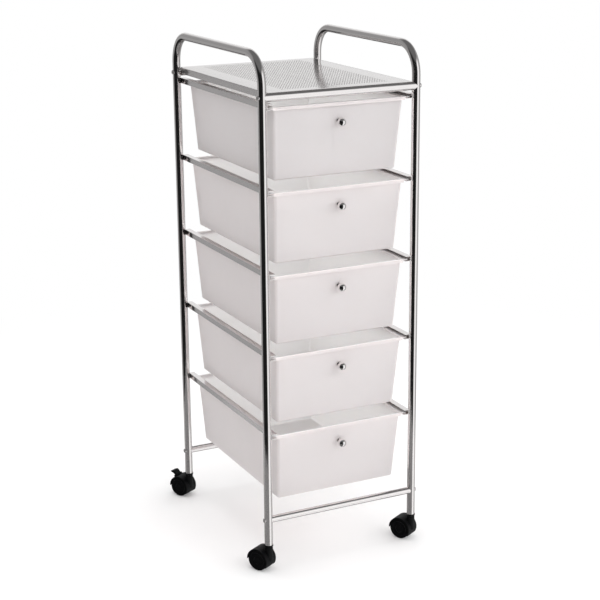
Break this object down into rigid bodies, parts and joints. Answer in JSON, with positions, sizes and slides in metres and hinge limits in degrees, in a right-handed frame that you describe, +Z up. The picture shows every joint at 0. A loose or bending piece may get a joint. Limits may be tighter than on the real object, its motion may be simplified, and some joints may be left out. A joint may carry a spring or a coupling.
{
  "type": "rolling drawer cart",
  "caption": "Slim rolling storage cart: chromed tube side frames with handle bows, a perforated top shelf, tapered white pull-out drawers with ball knobs, and hooded twin-wheel casters.",
  "frame": {"origin": "on the floor, in the middle of the four posts", "axes": "+Z up, +X to the right seen from the front, -Y towards the front, the way the drawers pull out"},
  "size_m": [0.3484, 0.4372, 0.9485],
  "materials": {
    "chrome": "polished",
    "steel": "plain",
    "drawer_plastic": "frosted",
    "black_plastic": "satin"
  },
  "bodies": {
    "frame": {"left_side_frame": "chrome", "right_side_frame": "chrome", "top_front_tube": "chrome", "top_rear_tube": "chrome", "bottom_front_bar": "chrome", "bottom_rear_bar": "chrome", "frame_screws": "chrome", "tube_inserts": "steel", "top_shelf": "chrome", "left_rail_1": "chrome", "right_rail_1": "chrome", "left_rail_2": "chrome", "right_rail_2": "chrome", "left_rail_3": "chrome", "right_rail_3": "chrome", "left_rail_4": "chrome", "right_rail_4": "chrome", "left_rail_5": "chrome", "right_rail_5": "chrome", "caster_socket_fl": "black_plastic", "caster_socket_fr": "black_plastic", "caster_socket_rl": "black_plastic", "caster_socket_rr": "black_plastic"},
    "drawer_1": {"drawer_1_tray": "drawer_plastic", "drawer_1_knob": "chrome", "drawer_1_screw": "steel"},
    "drawer_2": {"drawer_2_tray": "drawer_plastic", "drawer_2_knob": "chrome", "drawer_2_screw": "steel"},
    "drawer_3": {"drawer_3_tray": "drawer_plastic", "drawer_3_knob": "chrome", "drawer_3_screw": "steel"},
    "drawer_4": {"drawer_4_tray": "drawer_plastic", "drawer_4_knob": "chrome", "drawer_4_screw": "steel"},
    "drawer_5": {"drawer_5_tray": "drawer_plastic", "drawer_5_knob": "chrome", "drawer_5_screw": "steel"},
    "caster_fl": {"caster_fl_hood": "black_plastic", "caster_fl_stem": "steel", "caster_fl_axle": "steel"},
    "caster_fl_wheel_a": {"caster_fl_wheel_a": "black_plastic"},
    "caster_fl_wheel_b": {"caster_fl_wheel_b": "black_plastic"},
    "caster_fr": {"caster_fr_hood": "black_plastic", "caster_fr_stem": "steel", "caster_fr_axle": "steel"},
    "caster_fr_wheel_a": {"caster_fr_wheel_a": "black_plastic"},
    "caster_fr_wheel_b": {"caster_fr_wheel_b": "black_plastic"},
    "caster_rl": {"caster_rl_hood": "black_plastic", "caster_rl_stem": "steel", "caster_rl_axle": "steel"},
    "caster_rl_wheel_a": {"caster_rl_wheel_a": "black_plastic"},
    "caster_rl_wheel_b": {"caster_rl_wheel_b": "black_plastic"},
    "caster_rl_brake": {"caster_rl_brake": "black_plastic"},
    "caster_rr": {"caster_rr_hood": "black_plastic", "caster_rr_stem": "steel", "caster_rr_axle": "steel"},
    "caster_rr_wheel_a": {"caster_rr_wheel_a": "black_plastic"},
    "caster_rr_wheel_b": {"caster_rr_wheel_b": "black_plastic"},
    "caster_rr_brake": {"caster_rr_brake": "black_plastic"}
  },
  "joints": [
    {"name": "drawer_1_slide", "type": "slide", "parent": "frame", "child": "drawer_1", "axis": [0, -1, 0], "range_m": [0, 0.25]},
    {"name": "drawer_2_slide", "type": "slide", "parent": "frame", "child": "drawer_2", "axis": [0, -1, 0], "range_m": [0, 0.25]},
    {"name": "drawer_3_slide", "type": "slide", "parent": "frame", "child": "drawer_3", "axis": [0, -1, 0], "range_m": [0, 0.25]},
    {"name": "drawer_4_slide", "type": "slide", "parent": "frame", "child": "drawer_4", "axis": [0, -1, 0], "range_m": [0, 0.25]},
    {"name": "drawer_5_slide", "type": "slide", "parent": "frame", "child": "drawer_5", "axis": [0, -1, 0], "range_m": [0, 0.25]},
    {"name": "caster_fl_swivel", "type": "hinge", "parent": "frame", "child": "caster_fl", "pos_m": [-0.15, -0.192, 0.051], "axis": [0, 0, 1], "continuous": true},
    {"name": "caster_fl_wheel_a_spin", "type": "hinge", "parent": "caster_fl", "child": "caster_fl_wheel_a", "pos_m": [-0.1585, -0.17728, 0.02], "axis": [-0.866, -0.5, 0], "continuous": true},
    {"name": "caster_fl_wheel_b_spin", "type": "hinge", "parent": "caster_fl", "child": "caster_fl_wheel_b", "pos_m": [-0.1585, -0.17728, 0.02], "axis": [-0.866, -0.5, 0], "continuous": true},
    {"name": "caster_fr_swivel", "type": "hinge", "parent": "frame", "child": "caster_fr", "pos_m": [0.15, -0.192, 0.051], "axis": [0, 0, 1], "continuous": true},
    {"name": "caster_fr_wheel_a_spin", "type": "hinge", "parent": "caster_fr", "child": "caster_fr_wheel_a", "pos_m": [0.1415, -0.17728, 0.02], "axis": [-0.866, -0.5, 0], "continuous": true},
    {"name": "caster_fr_wheel_b_spin", "type": "hinge", "parent": "caster_fr", "child": "caster_fr_wheel_b", "pos_m": [0.1415, -0.17728, 0.02], "axis": [-0.866, -0.5, 0], "continuous": true},
    {"name": "caster_rl_swivel", "type": "hinge", "parent": "frame", "child": "caster_rl", "pos_m": [-0.15, 0.192, 0.051], "axis": [0, 0, 1], "continuous": true},
    {"name": "caster_rl_wheel_a_spin", "type": "hinge", "parent": "caster_rl", "child": "caster_rl_wheel_a", "pos_m": [-0.1585, 0.20672, 0.02], "axis": [-0.866, -0.5, 0], "continuous": true},
    {"name": "caster_rl_wheel_b_spin", "type": "hinge", "parent": "caster_rl", "child": "caster_rl_wheel_b", "pos_m": [-0.1585, 0.20672, 0.02], "axis": [-0.866, -0.5, 0], "continuous": true},
    {"name": "caster_rl_brake_press", "type": "hinge", "parent": "caster_rl", "child": "caster_rl_brake", "pos_m": [-0.16437, 0.2169, 0.04035], "axis": [-0.866, -0.5, 0], "range_deg": [0, 20]},
    {"name": "caster_rr_swivel", "type": "hinge", "parent": "frame", "child": "caster_rr", "pos_m": [0.15, 0.192, 0.051], "axis": [0, 0, 1], "continuous": true},
    {"name": "caster_rr_wheel_a_spin", "type": "hinge", "parent": "caster_rr", "child": "caster_rr_wheel_a", "pos_m": [0.1415, 0.20672, 0.02], "axis": [-0.866, -0.5, 0], "continuous": true},
    {"name": "caster_rr_wheel_b_spin", "type": "hinge", "parent": "caster_rr", "child": "caster_rr_wheel_b", "pos_m": [0.1415, 0.20672, 0.02], "axis": [-0.866, -0.5, 0], "continuous": true},
    {"name": "caster_rr_brake_press", "type": "hinge", "parent": "caster_rr", "child": "caster_rr_brake", "pos_m": [0.13562, 0.2169, 0.04035], "axis": [-0.866, -0.5, 0], "range_deg": [0, 20]}
  ]
}
